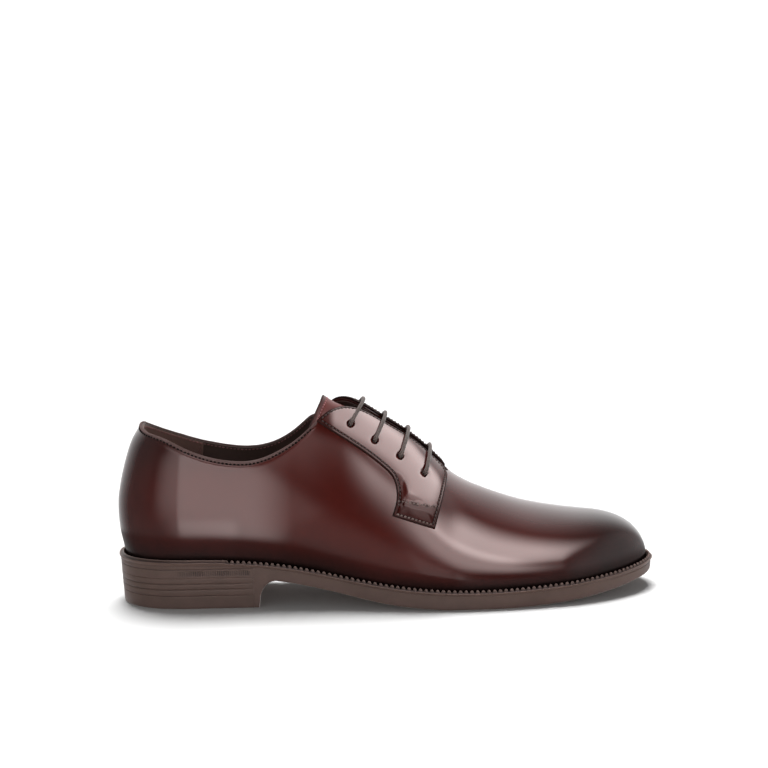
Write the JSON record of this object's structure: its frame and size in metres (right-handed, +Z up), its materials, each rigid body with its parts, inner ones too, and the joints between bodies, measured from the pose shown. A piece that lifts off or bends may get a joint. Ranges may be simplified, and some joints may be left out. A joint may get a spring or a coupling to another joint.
{
  "type": "dress shoe",
  "caption": "Plain-toe lace-up derby dress shoe for the right foot: hollow leather upper with stitched facings, welted rubber sole and stacked heel.",
  "frame": {"origin": "on the floor under the middle of the shoe's box", "axes": "+X towards the toe, +Y towards the inner (medial) side, +Z up"},
  "size_m": [0.2996, 0.1014, 0.1131],
  "materials": {
    "upper_leather": "high-shine burnished calf leather, darker at toe and heel",
    "facing_leather": "high-shine leather with stitched, painted edges",
    "tongue_leather": "semi-gloss leather",
    "lining_leather": "matt lining leather",
    "sole_rubber": "matt moulded rubber",
    "lace_cord": "waxed round braid"
  },
  "bodies": {
    "root": {"upper": "upper_leather", "facing_lateral": "facing_leather", "facing_medial": "facing_leather", "tongue": "tongue_leather", "insole": "lining_leather", "welt": "sole_rubber", "outsole": "sole_rubber", "heel_stack": "sole_rubber", "heel_top_piece": "sole_rubber", "lace_bar_1": "lace_cord", "lace_bar_2": "lace_cord", "lace_bar_3": "lace_cord", "lace_bar_4": "lace_cord"}
  },
  "joints": []
}
